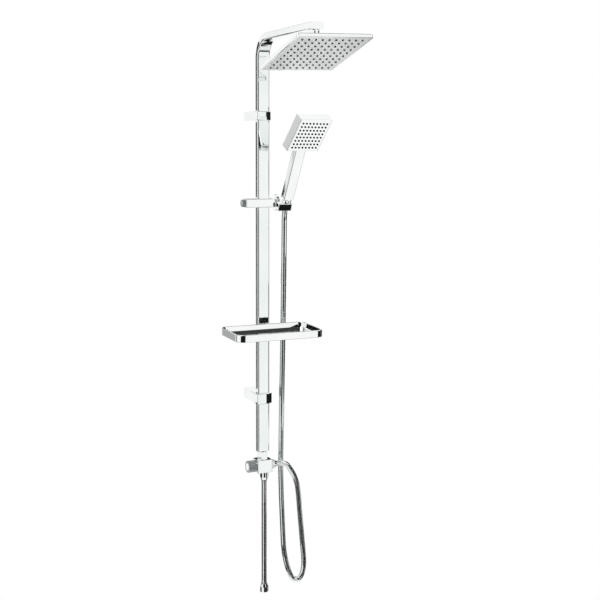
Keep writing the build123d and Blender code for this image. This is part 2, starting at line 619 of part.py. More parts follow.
def soap_tray():
    """Rimmed tray in front of the column, held by a clamp sleeve with two screws and a set screw."""
    low = TRAY_TOP - TRAY_HEIGHT
    half_height = TRAY_HEIGHT / 2
    back_y = COLUMN_Y - TRAY_BACK
    lean_room = half_height * math.sin(math.radians(TRAY_LEAN))
    hang = Pos(TRAY_SHIFT, back_y - lean_room, TRAY_TOP - half_height) * Rot(TRAY_LEAN, 0, 0)
    place = hang * Pos(0, -TRAY_DEPTH / 2, -half_height)
    frame = extrude(RectangleRounded(TRAY_WIDTH, TRAY_DEPTH, TRAY_CORNER), TRAY_HEIGHT)
    frame = fillet(frame.faces().sort_by(Axis.Z)[0].edges(), TRAY_EDGE)
    floor_inset = TRAY_RIM + TRAY_SLOPE
    well_x = TRAY_WIDTH - 2 * floor_inset
    well_y = TRAY_DEPTH - 2 * floor_inset
    well_corner = TRAY_CORNER - floor_inset
    seat = RectangleRounded(well_x, well_y, well_corner)
    rim_x = TRAY_WIDTH - 2 * TRAY_RIM
    rim_y = TRAY_DEPTH - 2 * TRAY_RIM
    mouth = RectangleRounded(rim_x, rim_y, TRAY_CORNER - TRAY_RIM)
    opening = RectangleRounded(well_x - 2 * TRAY_LEDGE, well_y - 2 * TRAY_LEDGE, well_corner - TRAY_LEDGE)
    floor_top = TRAY_LEDGE + TRAY_FLOOR_THICKNESS
    frame -= loft([Pos(0, 0, floor_top) * seat, Pos(0, 0, TRAY_HEIGHT) * mouth], ruled=True)
    frame -= Pos(0, 0, TRAY_LEDGE) * extrude(seat, TRAY_FLOOR_THICKNESS)
    frame -= extrude(opening, TRAY_LEDGE)
    frame = fillet(frame.faces().sort_by(Axis.Z)[-1].edges(), TRAY_EDGE)
    floor_x = well_x - 2 * SEAT_GAP
    floor_y = well_y - 2 * SEAT_GAP
    floor = extrude(RectangleRounded(floor_x, floor_y, well_corner - SEAT_GAP), TRAY_FLOOR_THICKNESS)
    floor = Pos(0, 0, TRAY_LEDGE) * floor
    floor_centre = (place * Pos(0, 0, floor_top)).position
    print("tray floor", well_x, "by", well_y, "centre", floor_centre)

    clamp_low = low + CLAMP_INSET
    clamp_high = TRAY_TOP - CLAMP_BELOW_RIM
    middle = (clamp_low + clamp_high) / 2
    clamp = sleeve_hole(SLEEVE_GAP + CLAMP_WALL, clamp_low, clamp_high)
    ear_end = TUBE_WIDTH / 2 + SLEEVE_GAP + CLAMP_WALL + CLAMP_EAR
    clamp += block((-ear_end, ear_end), (back_y, back_y + CLAMP_WALL), (clamp_low, clamp_high))
    clamp -= sleeve_hole(SLEEVE_GAP, low, TRAY_TOP)
    liner = sleeve_hole(LINER_GAP, clamp_low, clamp_high) - sleeve_hole(RUN_GAP, low, TRAY_TOP)

    screw = rod(TRAY_SCREW_RADIUS, -CLAMP_WALL - TRAY_SCREW_BITE, 0)
    screw += rod(TRAY_SCREW_HEAD_RADIUS, 0, TRAY_SCREW_HEAD_HEIGHT)
    hole = rod(TRAY_SCREW_RADIUS + FIT_GAP, -CLAMP_WALL - TRAY_SCREW_BITE - SEAT_GAP, 1)
    screw_x = ear_end - CLAMP_EAR / 2
    screws = []
    frame = place * frame
    for side in (-1, 1):
        spot = Pos(side * screw_x, back_y + CLAMP_WALL, middle) * Rot(-90, 0, 0)
        frame -= spot * hole
        clamp -= spot * hole
        screws.append(spot * screw)
    rear = COLUMN_Y + FACE_COLUMN + SLEEVE_GAP + CLAMP_WALL
    rear_spot = Pos(0, rear, middle) * Rot(-90, 0, 0)
    clamp -= rear_spot * rod(GRUB_RADIUS + FIT_GAP, -CLAMP_WALL - 1, 1)
    key = Pos(0, 0, -CLAMP_WALL / 2) * extrude(RegularPolygon(GRUB_KEY_RADIUS, 6), CLAMP_WALL)
    set_screw = rear_spot * (rod(GRUB_RADIUS, SEAT_GAP - CLAMP_WALL, 0) - key)
    return {
        "tray_frame": frame,
        "tray_floor": place * floor,
        "tray_clamp": clamp,
        "tray_liner": liner,
        "tray_screws": Compound(children=screws),
        "tray_set_screw": set_screw,
    }


def union():
    """Foot of the column, its captive union nut and washer, with heights from the foot down."""
    lip_top = -UNION_GAP
    flange_top = lip_top - LIP_THICKNESS - SEAT_GAP
    flange_low = flange_top - UNION_FLANGE
    inner_width = TUBE_WIDTH - 2 * TUBE_WALL - 2 * SEAT_GAP
    inner_depth = TUBE_DEPTH - 2 * TUBE_WALL - 2 * SEAT_GAP
    foot = tube_bar(TUBE_WIDTH, TUBE_DEPTH, TUBE_CORNER, -FOOT_PLATE, 0)
    foot += tube_bar(inner_width, inner_depth, TUBE_CORNER - TUBE_WALL, 0, FOOT_PLUG)
    foot += rod(TAIL_RADIUS, flange_low, -FOOT_PLATE)
    foot += rod(THREAD_RADIUS - SEAT_GAP, flange_low, flange_top)
    foot -= rod(WATER_BORE, flange_low - 1, FOOT_PLUG + 1)
    washer_low = flange_low - WASHER_THICKNESS
    washer = pipe(THREAD_RADIUS - SEAT_GAP, WATER_BORE, washer_low, flange_low)
    nut_low = washer_low - THREAD_LENGTH
    nut = hexagon(UNION_ACROSS_FLATS, nut_low, lip_top)
    nut -= rod(TAIL_RADIUS + RUN_GAP, nut_low - 1, lip_top + 1)
    nut -= rod(THREAD_BORE, nut_low - 1, lip_top - LIP_THICKNESS)
    place = Pos(0, COLUMN_Y, FOOT_Z)
    pieces = {"column_foot": place * foot, "union_washer": place * washer, "union_nut": place * nut}
    return pieces, FOOT_Z + washer_low


def diverter(stub_top):
    """Square diverter body with a rotary core, bonnet, spindle seals and fluted knob."""
    top = stub_top - THREAD_LENGTH - FIT_GAP - SEAT_GAP
    low = top - DIVERTER_HEIGHT
    middle = (top + low) / 2
    half_width = DIVERTER_WIDTH / 2
    half_depth = DIVERTER_DEPTH / 2
    stub_low = low - THREAD_LENGTH
    stub_right = half_width + THREAD_LENGTH
    axis = Pos(0, COLUMN_Y, middle) * ALONG_X
    upright = Pos(0, COLUMN_Y, 0)

    body = block((-half_width, half_width), (-half_depth, half_depth), (low, top))
    body = upright * fillet(body.edges(), DIVERTER_EDGE)
    body += upright * rod(THREAD_RADIUS, middle, stub_top)
    body += INLET * rod(THREAD_RADIUS, stub_low, middle)
    body += axis * rod(THREAD_RADIUS, 0, stub_right)
    body -= upright * rod(WATER_BORE, middle, stub_top + 1)
    body -= INLET * rod(WATER_BORE, stub_low - 1, middle)
    body -= axis * rod(WATER_BORE, 0, stub_right + 1)
    body -= axis * rod(CORE_RADIUS, -half_width - 1, CORE_RIGHT)

    core_left = CORE_RIGHT - RUN_GAP - CORE_LENGTH
    spindle_end = core_left - SPINDLE_LENGTH
    core = rod(CORE_RADIUS - FIT_GAP, core_left, CORE_RIGHT - RUN_GAP)
    core -= rod(WATER_BORE, 0, CORE_RIGHT)
    core -= Pos(0, 0, INLET_OFFSET) * ALONG_X * rod(WATER_BORE, 0, CORE_RADIUS + 1)
    core += rod(SPINDLE_RADIUS, spindle_end, core_left)
    core -= rod(KNOB_SCREW_RADIUS + FIT_GAP, spindle_end - 1, spindle_end + KNOB_SCREW_LENGTH)
    ring_inner = SPINDLE_RADIUS - O_RING_DEPTH
    rings = []
    for step in (2, 4):
        ring_low = core_left - step * O_RING_WIDTH
        rings.append(axis * pipe(SPINDLE_RADIUS, ring_inner, ring_low, ring_low + O_RING_WIDTH))
        core -= pipe(SPINDLE_RADIUS + FIT_GAP, ring_inner, ring_low, ring_low + O_RING_WIDTH)

    bonnet_face = -half_width - BONNET_FLANGE_THICKNESS
    bonnet = rod(CORE_RADIUS - SEAT_GAP, -half_width, core_left - RUN_GAP)
    bonnet += rod(BONNET_FLANGE_RADIUS, bonnet_face, -half_width)
    bonnet -= rod(SPINDLE_RADIUS + FIT_GAP, bonnet_face - 1, core_left + 1)

    knob_face = -half_width - RUN_GAP
    knob_end = knob_face - KNOB_LENGTH
    knob = fluted(KNOB_RADIUS, KNOB_LENGTH, KNOB_FLUTES, KNOB_FLUTE_RADIUS, KNOB_FLUTE_DEPTH)
    knob = Pos(0, 0, knob_end) * knob
    cavity_end = bonnet_face - RUN_GAP
    knob -= rod(BONNET_FLANGE_RADIUS + RUN_GAP, cavity_end, knob_face + 1)
    knob -= rod(SPINDLE_RADIUS + SEAT_GAP, spindle_end, knob_face)
    knob -= rod(KNOB_SCREW_RADIUS + SEAT_GAP, knob_end - 1, spindle_end + 1)
    head_seat = spindle_end - KNOB_WALL
    head_end = head_seat - KNOB_SCREW_HEAD_HEIGHT
    knob -= rod(KNOB_SCREW_HEAD_RADIUS + SEAT_GAP, knob_end - 1, head_seat)
    cap_low = knob_end + KNOB_CAP_THICKNESS
    knob -= rod(KNOB_CAP_RADIUS + SEAT_GAP, knob_end - 1, cap_low)
    cap = rod(KNOB_CAP_RADIUS, knob_end, cap_low)
    screw = rod(KNOB_SCREW_HEAD_RADIUS, head_end, head_seat)
    screw += rod(KNOB_SCREW_RADIUS, head_seat, spindle_end + KNOB_SCREW_LENGTH - KNOB_WALL)
    pieces = {
        "diverter_body": body,
        "diverter_core": axis * core,
        "spindle_seals": Compound(children=rings),
        "diverter_bonnet": axis * bonnet,
        "diverter_knob": axis * knob,
        "knob_screw": axis * screw,
        "knob_cap": axis * cap,
    }
    return pieces, stub_low, stub_right, middle


def hose_outlet(stub_end, height):
    """Tapered nut that joins the shower hose to the diverter's side outlet, and its washer."""
    axis = Pos(0, COLUMN_Y, height) * ALONG_X
    low = stub_end - THREAD_LENGTH + SEAT_GAP
    grip_end = low + HOSE_NUT_GRIP
    end = low + HOSE_NUT_LENGTH
    radius = THREAD_BORE + HOSE_NUT_WALL
    nut = fluted(radius, HOSE_NUT_GRIP, COLLAR_KNURLS, KNURL_RADIUS, KNURL_DEPTH)
    nut = Pos(0, 0, low) * nut + taper(radius, HOSE_CREST + SEAT_GAP, grip_end, end)
    nut -= rod(THREAD_BORE, low - 1, stub_end + WASHER_THICKNESS)
    nut -= rod(HOSE_BORE, low, end + 1)
    washer = pipe(THREAD_RADIUS - SEAT_GAP, WATER_BORE, stub_end, stub_end + WASHER_THICKNESS)
    return {"hose_lower_nut": axis * nut, "hose_lower_washer": axis * washer}, end


def inlet(stub_low):
    """Supply hose hanging from the diverter, with ferrules, a tight upper nut and a loose end nut."""
    bore = WATER_BORE - 1
    nut_radius = THREAD_RADIUS - SEAT_GAP

    washer_low = stub_low - WASHER_THICKNESS
    upper_washer = pipe(nut_radius, bore, washer_low, stub_low)
    flange_low = washer_low - FERRULE_FLANGE
    cone_high = flange_low - SEAT_GAP
    lip_low = cone_high - INLET_NUT_CONE
    nut_high = stub_low + UPPER_NUT_THREAD
    upper_nut = rod(INLET_NUT_RADIUS, cone_high, nut_high)
    upper_nut += taper(INLET_NUT_NECK, INLET_NUT_RADIUS, lip_low, cone_high)
    upper_nut -= rod(THREAD_BORE, cone_high, nut_high + 1)
    upper_nut -= rod(TAIL_RADIUS + RUN_GAP, lip_low - 1, stub_low)
    hose_top = lip_low - FERRULE_LENGTH
    ferrule = rod(nut_radius, flange_low, washer_low) + rod(TAIL_RADIUS, hose_top, flange_low)
    upper_ferrule = ferrule - rod(bore, hose_top - 1, stub_low)

    hose_low = hose_top - INLET_HOSE_LENGTH
    lip_top = hose_low - FERRULE_LENGTH
    cone_low = lip_top - INLET_NUT_CONE
    end_flange = cone_low - RUN_GAP
    seat = end_flange - FERRULE_FLANGE
    ferrule = rod(TAIL_RADIUS, end_flange, hose_low) + rod(nut_radius, seat, end_flange)
    lower_ferrule = ferrule - rod(bore, seat - 1, hose_low + 1)
    end_washer = pipe(nut_radius, bore, seat - WASHER_THICKNESS, seat)
    thread_top = seat - WASHER_THICKNESS - RUN_GAP
    nut_low = thread_top - END_NUT_THREAD
    end_nut = rod(INLET_NUT_RADIUS, nut_low, cone_low)
    end_nut += taper(INLET_NUT_RADIUS, INLET_NUT_NECK, cone_low, lip_top)
    end_nut -= rod(TAIL_RADIUS + RUN_GAP, nut_low - 1, lip_top + 1)
    end_nut -= rod(THREAD_BORE, nut_low - 1, thread_top)
    end_nut -= rod(THREAD_BORE + THREAD_RELIEF, thread_top, cone_low)

    path = Line((INLET_OFFSET, COLUMN_Y, hose_top), (INLET_OFFSET, COLUMN_Y, hose_low))
    hose = ribbed_hose(path, 0, path.length)
    ferrules = Compound(children=[INLET * upper_ferrule, INLET * lower_ferrule])
    print("inlet hose between ferrules", round(hose_top, 2), "to", round(hose_low, 2))
    print("end nut", round(lip_top, 2), "to", round(nut_low, 2), "thread up to", round(thread_top, 2))
    return {
        "inlet_upper_washer": INLET * upper_washer,
        "inlet_upper_nut": INLET * upper_nut,
        "inlet_ferrules": ferrules,
        "inlet_hose": hose,
        "inlet_end_washer": INLET * end_washer,
        "inlet_end_nut": INLET * end_nut,
    }


def hose_section(path, distance, radius):
    """Circle square to a path at a distance along it, with its X axis held steady."""
    share = distance / path.length
    plane = Plane(path.position_at(share), x_dir=(0, 1, 0), z_dir=path.tangent_at(share))
    return plane * Circle(radius)


def ribbed_hose(path, start, end):
    """Ribbed tube with its bore along a stretch of a path."""
    ribs = round((end - start) / HOSE_RIB_PITCH)
    pitch = (end - start) / ribs
    profile = ((0, HOSE_ROOT), (RIB_RISE, HOSE_CREST), (RIB_FALL, HOSE_CREST), (RIB_FOOT, HOSE_ROOT))
    sections = []
    bore_sections = []
    for rib in range(ribs):
        rib_start = start + rib * pitch
        bore_sections.append(hose_section(path, rib_start, HOSE_BORE))
        for share, radius in profile:
            sections.append(hose_section(path, rib_start + share * pitch, radius))
    sections.append(hose_section(path, end, HOSE_ROOT))
    bore_sections.append(hose_section(path, end, HOSE_BORE))
    return loft(sections, ruled=True) - loft(bore_sections, ruled=True)


def route_radii(points):
    """Largest arcs that the route's runs allow at its corners."""
    radii = []
    for before, corner, after in zip(points, points[1:], points[2:]):
        first = Vector(corner) - Vector(before)
        second = Vector(after) - Vector(corner)
        half_turn = math.radians(first.get_angle(second)) / 2
        radii.append(ARC_SHARE * min(first.length, second.length) / math.tan(half_turn))
    return radii


def shower_hose(nut_end, outlet_height):
    """Shower hose from the outlet round its hanging loop and up to the holder, in three stretches."""
    hanging = [
        (82, -0.6, -207.5), (95, -1.2, -228), (104.3, -1.9, -255), (109, -2.7, -287), (112, -3.4, -322),
        (116.6, -4.5, -366), (121.5, -5.8, -412), (126.3, -7.4, -456), (129.6, -8.6, -485),
        (127.6, -9.9, -509), (121.8, -11.1, -527.2), (114.1, -12, -534), (104, -12.8, -534.9),
        (95.5, -13.6, -529.9), (87.6, -14.8, -514), (79.6, -16.2, -489), (73.9, -17.3, -462),
        (70, -18.2, -430), (68.2, -19, -380), (65.8, -19.7, -325), (63.9, -20.2, -268),
        (62.1, -20, -205), (62, -6, 230),
    ]
    start = (nut_end, COLUMN_Y, outlet_height)
    first = (nut_end + HOSE_STRAIGHT, COLUMN_Y, outlet_height)
    loop = [(x, COLUMN_Y - out, z) for x, out, z in hanging]
    top_turn = (SOCKET * Pos(0, 0, CONE_BOTTOM - HOSE_STRAIGHT)).position
    top = (SOCKET * Pos(0, 0, CONE_BOTTOM)).position
    points = [start, first] + loop + [tuple(top_turn), tuple(top)]
    radii = route_radii(points)
    print("shower hose radii", [round(radius) for radius in radii])
    path = FilletPolyline(*points, radius=radii)
    total = path.length
    print("shower hose length", round(total, 1))
    print("route", [tuple(round(value, 1) for value in point) for point in points])
    main_end = total - HOSE_END_LENGTH - HOSE_TOP_LENGTH
    top_end = total - HOSE_END_LENGTH
    print("stretches meet at", path.position_at(main_end / total), path.position_at(top_end / total))
    return {
        "hose_main": ribbed_hose(path, 0, main_end),
        "hose_top": ribbed_hose(path, main_end, top_end),
        "hose_end": ribbed_hose(path, top_end, total),
    }


def shower_column():
    """Every piece by its node's name."""
    pieces = column_and_arm()
    pieces.update(wall_brackets())
    pieces.update(ball_joint())
    pieces.update(rose())
    pieces.update(slider())
    pieces.update(holder())
    pieces.update(hose_cone())
    pieces.update(handset())
    pieces.update(soap_tray())
    union_pieces, stub_top = union()
    pieces.update(union_pieces)
    diverter_pieces, stub_low, stub_right, outlet_height = diverter(stub_top)
    pieces.update(diverter_pieces)
    outlet_pieces, nut_end = hose_outlet(stub_right, outlet_height)
    pieces.update(outlet_pieces)
    pieces.update(inlet(stub_low))
    pieces.update(shower_hose(nut_end, outlet_height))
    return pieces


os.makedirs("parts", exist_ok=True)
for node, solid in shower_column().items():
    export_step(solid, f"parts/{node}.step")
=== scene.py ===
"""Dresses the rainfall shower column: chrome finishes, ribbed hoses, studio and camera."""
import bpy
import json
import math
from mathutils import Matrix, Vector


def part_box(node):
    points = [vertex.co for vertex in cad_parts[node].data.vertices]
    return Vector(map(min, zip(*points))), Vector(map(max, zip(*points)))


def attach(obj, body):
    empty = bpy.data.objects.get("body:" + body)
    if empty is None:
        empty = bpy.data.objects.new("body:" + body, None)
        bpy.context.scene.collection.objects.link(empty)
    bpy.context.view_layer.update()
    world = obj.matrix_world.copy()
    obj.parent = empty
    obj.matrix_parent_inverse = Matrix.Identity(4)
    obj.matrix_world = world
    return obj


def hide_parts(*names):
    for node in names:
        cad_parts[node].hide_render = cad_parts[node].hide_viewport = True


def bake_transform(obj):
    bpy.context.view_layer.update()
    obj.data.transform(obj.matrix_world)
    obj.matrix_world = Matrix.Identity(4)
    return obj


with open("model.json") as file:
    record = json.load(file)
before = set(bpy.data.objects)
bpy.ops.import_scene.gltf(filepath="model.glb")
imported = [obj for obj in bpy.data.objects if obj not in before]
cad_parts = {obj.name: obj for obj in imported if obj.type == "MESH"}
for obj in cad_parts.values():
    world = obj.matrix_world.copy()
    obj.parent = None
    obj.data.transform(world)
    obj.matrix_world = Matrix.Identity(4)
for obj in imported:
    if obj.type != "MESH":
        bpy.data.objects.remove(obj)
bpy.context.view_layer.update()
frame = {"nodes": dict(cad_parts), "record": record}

MM = 0.001

# Camera, found from the photograph's perspective
CAMERA_PLACE = (-1.1227, -2.7242, 0.6529)
CAMERA_TURN = 25.0
CAMERA_PITCH = 7.67
CAMERA_ROLL = 0.23
CAMERA_LENS = 65.17
CAMERA_REACH = 100
SENSOR_WIDTH = 36.0

# Hoses
HOSE_CREST = 7.5 * MM
HOSE_ROOT = 7.3 * MM
HOSE_BORE = 4.5 * MM
HOSE_PITCH = 4.0 * MM
HOSE_SIDES = 28
# One rib: share of the pitch, share of the rib's height
RIB_CROWN = (
    (0.0, 0.0), (0.03, 0.9), (0.045, 1.0), (0.06, 1.0), (0.94, 1.0), (0.955, 1.0), (0.97, 0.9),
)
CURVE_STEPS = 24
SUPPLY_STEPS = 5
# Heights of the loop's top and of the bend by the holder, which the hose's stretches list but nothing
# uses, and where the hose passes to the slider and to the holder, where it is cut
LOOP_TOP = -0.30
HOLDER_BEND = 0.335
SLIDER_JUNCTION = 0.2605
HOLDER_JUNCTION = 0.4103
# Fittings at the hoses' ends
LOWER_FITTINGS = ("hose_lower_nut", "hose_lower_washer")

# Finishes: how fine each noise is, and how much of its range is used
METAL_CLOUDS = 9.0
METAL_WIPES = 60.0
METAL_GRAIN = 900.0
MOULDED_CLOUDS = 40.0
MOULDED_GRAIN = 1500.0
NOISE_RANGE = (0.3, 0.7)
COLOUR_STOPS = (0.35, 0.65)
GRAIN_DEPTH = 0.2 * MM

# Studio
FLOOR_HEIGHT = -1.2
FLOOR_SIZE = 30.0
FLOOR_COLOUR = (0.9, 0.9, 0.9, 1)
FLOOR_ROUGHNESS = 0.9
CARD_DISTANCE = 3.0
WORLD_LIGHT = 0.75

# Far cards: name, bearings in degrees, heights, share of the width that fades, level of grey
FAR_CARDS = (
    ("card_left", (-122, -106), (-2.0, 2.4), 0.15, 0.02),
    ("card_left_grey", (-140, -122), (-1.1, 2.4), 0.1, 0.66),
    ("card_left_low", (-142, -66), (-3.6, -1.1), 0.03, 0.01),
    ("card_front_low", (-32, 16), (-2.3, -1.05), 0.06, 0.01),
    ("card_window_low", (14, 32), (-2.3, -1.25), 0.02, 0.01),
    ("card_left_deep", (-80, -30), (-3.6, -1.75), 0.05, 0.03),
    ("card_front", (-50, 16), (-1.05, 4.4), 0.06, 0.01),
    ("card_side", (29.5, 90), (-0.85, 2.4), 0.03, 0.01),
    ("card_far_side", (88, 140), (-0.9, 2.4), 0.1, 0.05),
    ("card_far_side_low", (88, 140), (-2.3, -0.9), 0.1, 0.25),
    ("card_window_top", (14, 31), (1.45, 2.4), 0.05, 0.05),
    ("card_back_high", (141, 171), (1.3, 2.4), 0.1, 0.01),
)

# Other cards: name, place, width and height, turn in degrees, fading share, level of grey, tip in degrees
ROOM_CARDS = (
    ("card_roof", (1.3, -0.8, 3.0), (1.6, 1.8), 0, 0.1, 0.01, 90),
    ("card_nut", (0.810, -0.764, -0.81), (0.73, 0.78), 49.8, 0.03, 0.01),
    ("card_nut_left", (-0.072, -0.133, -0.576), (0.10, 0.05), -55, 0.02, 1.0),
    ("card_nut_side", (1.041, -0.280, -0.94), (0.45, 0.52), 79, 0.03, 0.25),
)
NEAR_CARDS = (
    ("card_slider_top", (0.145, 0.25, 0.552), (0.20, 0.03), 0, 0.05, 0.03),
    ("card_diverter_top", (0.15, 0.25, -0.06), (0.25, 0.08), 0, 0.05, 0.03),
    ("card_tray_top", (0.14, 0.25, 0.286), (0.30, 0.032), 0, 0.02, 0.04),
    ("card_tray_block", (0.262, 0.25, 0.315), (0.06, 0.035), 0, 0.02, 0.01),
    ("card_handle", (-0.22, -0.29, 0.62), (0.07, 0.26), -48, 0.02, 1.0),
    ("card_tray_side", (-0.31, 0.25, 0.13), (0.18, 0.14), 0, 0.02, 0.42),
    ("card_bracket", (0.042, -0.09, 0.755), (0.10, 0.04), 90, 0.02, 0.01),
    *(
        ("card_swivel", (across, -0.453, 0.934), (0.0035, 0.018), 0, 0.1, 0.01)
        for across in (0.012, 0.022, 0.032)
    ),
    ("card_bend", (0.041, -0.058, 0.86), (0.048, 0.075), 0, 0.05, 0.01, 90),
    ("card_floor", (0.58, 0.2, -0.95), (0.5, 1.3), 0, 0.1, 0.02, 90),
    ("card_low", (0.85, -1.15, -0.8), (0.7, 0.7), 0, 0.2, 0.01, 90),
)

# Cards behind the column's left edge: fading share and level of grey of each kind
COLUMN_CARD_DEPTH = 0.02
COLUMN_EDGE_PLACE = -0.056
COLUMN_EDGE_WIDTH = 0.006
COLUMN_EDGE_SHADE = (0.1, 0.03)
COLUMN_SIDE_PLACE = -0.059
COLUMN_SIDE_SHADE = (0.005, 0.04)
# The stretches they are in: low end, high end, reach to the left
COLUMN_STRETCHES = (
    (-0.185, -0.037, 0.09),
    (0.002, 0.506, 0.09),
    (0.535, 0.737, 0.009),
    (0.768, 0.91, 0.09),
    (0.91, 0.95, 0.009),
)

# Lamps: name, place, turn in degrees, width and height, power
LAMPS = (
    ("key_lamp", (-1.6, -1.8, 2.2), (55, 0, -42), (1.2, 1.2), 18),
    ("fill_lamp", (1.8, -1.6, 0.8), (80, 0, 48), (1.0, 1.6), 8),
)


def camera():
    """Camera at the photograph's place and angle."""
    data = bpy.data.cameras.new("camera")
    data.sensor_width = SENSOR_WIDTH
    data.lens = CAMERA_LENS
    data.clip_end = CAMERA_REACH
    eye = bpy.data.objects.new("camera", data)
    bpy.context.collection.objects.link(eye)
    eye.location = CAMERA_PLACE
    look = Matrix.Rotation(math.radians(-CAMERA_TURN), 4, "Z")
    look @= Matrix.Rotation(math.radians(90 - CAMERA_PITCH), 4, "X")
    look @= Matrix.Rotation(math.radians(CAMERA_ROLL), 4, "Z")
    eye.rotation_euler = look.to_euler()
    bpy.context.scene.camera = eye


def smooth_line(name, points):
    """Points along the NURBS curve that a route's points control, in order."""
    curve = bpy.data.curves.new(name, "CURVE")
    curve.dimensions = "3D"
    curve.resolution_u = CURVE_STEPS
    spline = curve.splines.new("NURBS")
    spline.points.add(len(points) - 1)
    for slot, place in zip(spline.points, points):
        slot.co = (*place, 1)
    spline.order_u = 3
    spline.use_endpoint_u = True
    carrier = bpy.data.objects.new(name, curve)
    bpy.context.collection.objects.link(carrier)
    bpy.context.view_layer.update()
    mesh = bpy.data.meshes.new_from_object(carrier)
    line = [vertex.co.copy() for vertex in mesh.vertices]
    bpy.data.objects.remove(carrier)
    bpy.data.curves.remove(curve)
    bpy.data.meshes.remove(mesh)
    return line


def line_lengths(line):
    """Distance along a line at each of its points."""
    lengths = [0.0]
    for before, after in zip(line, line[1:]):
        lengths.append(lengths[-1] + (after - before).length)
    return lengths


def hose_rings(total):
    """Distance and radius of each ring of a hose: out along its ribs, then back along its bore."""
    ribs = round(total / HOSE_PITCH)
    rings = []
    for rib in range(ribs):
        for share, height in RIB_CROWN:
            radius = HOSE_ROOT + height * (HOSE_CREST - HOSE_ROOT)
            rings.append(((rib + share) / ribs * total, radius))
    rings.append((total, HOSE_ROOT))
    bore_steps = max(2, ribs // 2)
    rings += [(total * (1 - step / bore_steps), HOSE_BORE) for step in range(bore_steps + 1)]
    return rings


def ring_points(line, lengths, rings):
    """Points of every ring in turn, each ring square to the line."""
    points = []
    index = 0
    for distance, radius in rings:
        while index < len(lengths) - 2 and lengths[index + 1] < distance:
            index += 1
        while index > 0 and lengths[index] > distance:
            index -= 1
        span = lengths[index + 1] - lengths[index]
        share = (distance - lengths[index]) / span
        centre = line[index].lerp(line[index + 1], share)
        behind = line[max(index - 1, 0)]
        ahead = line[min(index + 2, len(line) - 1)]
        tangent = (ahead - behind).normalized()
        across = (Vector((0, 1, 0)) - tangent * tangent.y).normalized()
        other = tangent.cross(across)
        for side in range(HOSE_SIDES):
            angle = math.tau * side / HOSE_SIDES
            points.append(centre + radius * (across * math.cos(angle) + other * math.sin(angle)))
    return points


def ribbed_tube(name, line):
    """Hollow ribbed tube along a line: flat ribs with narrow grooves outside and a plain bore."""
    lengths = line_lengths(line)
    rings = hose_rings(lengths[-1])
    faces = []
    count = len(rings)
    for ring in range(count):
        near = ring * HOSE_SIDES
        far = (ring + 1) % count * HOSE_SIDES
        for side in range(HOSE_SIDES):
            after = (side + 1) % HOSE_SIDES
            faces.append((near + side, near + after, far + after, far + side))
    mesh = bpy.data.meshes.new(name)
    mesh.from_pydata(ring_points(line, lengths, rings), [], faces)
    mesh.shade_smooth()
    piece = bpy.data.objects.new(name, mesh)
    bpy.context.collection.objects.link(piece)
    return piece, lengths[-1]


def part_of_line(line, low, high):
    """Stretch between two heights that a line rises through, cut exactly there. None is the line's end."""
    def at_height(before, after, height):
        return before.lerp(after, (height - before.z) / (after.z - before.z))

    stretch = []
    for before, after in zip(line, line[1:]):
        rising = after.z > before.z
        if low is not None and rising and before.z <= low < after.z:
            stretch = [at_height(before, after, low)]
            continue
        if high is not None and rising and before.z <= high < after.z:
            return stretch + [before, at_height(before, after, high)]
        stretch.append(before)
    return stretch + [line[-1]]


def shower_hose(finish):
    """Hose from the diverter's outlet, round its loop and up into the holder, in three stretches."""
    route = [
        (39.6, -80, -187.25), (67.1, -80, -187.25), (82, -79.4, -207.5), (95, -78.8, -228),
        (104.3, -78.1, -255), (109, -77.3, -287), (112, -76.6, -322), (116.6, -75.5, -366),
        (121.5, -74.2, -412), (126.3, -72.6, -456), (129.6, -71.4, -485), (127.6, -70.1, -509),
        (121.8, -68.9, -527.2), (114.1, -68, -534), (104, -67.2, -534.9), (95.5, -66.4, -529.9),
        (87.6, -65.2, -514), (79.6, -63.8, -489), (73.9, -62.7, -462), (70, -61.8, -430),
        (68.2, -61, -380), (65.8, -60.3, -325), (63.9, -59.8, -268), (62.1, -60, -205),
        (62.1, -62, -142), (62.8, -74.5, 230), (61.3, -83.2, 464), (60.2, -85.4, 492.5),
        (59.5, -94.8, 518.4),
    ]
    line = smooth_line("shower_hose_line", [Vector(point) * MM for point in route])
    stretches = (
        ("main", None, SLIDER_JUNCTION, LOOP_TOP, "column", "slider", LOWER_FITTINGS),
        ("top", SLIDER_JUNCTION, HOLDER_JUNCTION, HOLDER_BEND, "slider", "holder", ()),
        ("end", HOLDER_JUNCTION, None, HOLDER_JUNCTION, "holder", "hose_nut", ()),
    )
    for name, low, high, bend, lower, upper, fittings in stretches:
        stretch = part_of_line(line, low, high)
        piece, length = ribbed_tube("shower_hose_" + name, stretch)
        piece.data.materials.append(finish)
        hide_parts("hose_" + name)
        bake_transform(piece)


def inlet_hose(finish):
    """Supply hose that hangs straight down from the diverter to its loose nut."""
    low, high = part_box("inlet_hose")
    middle = (low + high) / 2
    drop = (low.z - high.z) / SUPPLY_STEPS
    heights = [high.z + drop * step for step in range(SUPPLY_STEPS + 1)]
    line = smooth_line("inlet_hose_line", [Vector((middle.x, middle.y, height)) for height in heights])
    piece, length = ribbed_tube("supply_hose", line)
    piece.data.materials.append(finish)
    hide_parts("inlet_hose")
    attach(piece, "column")


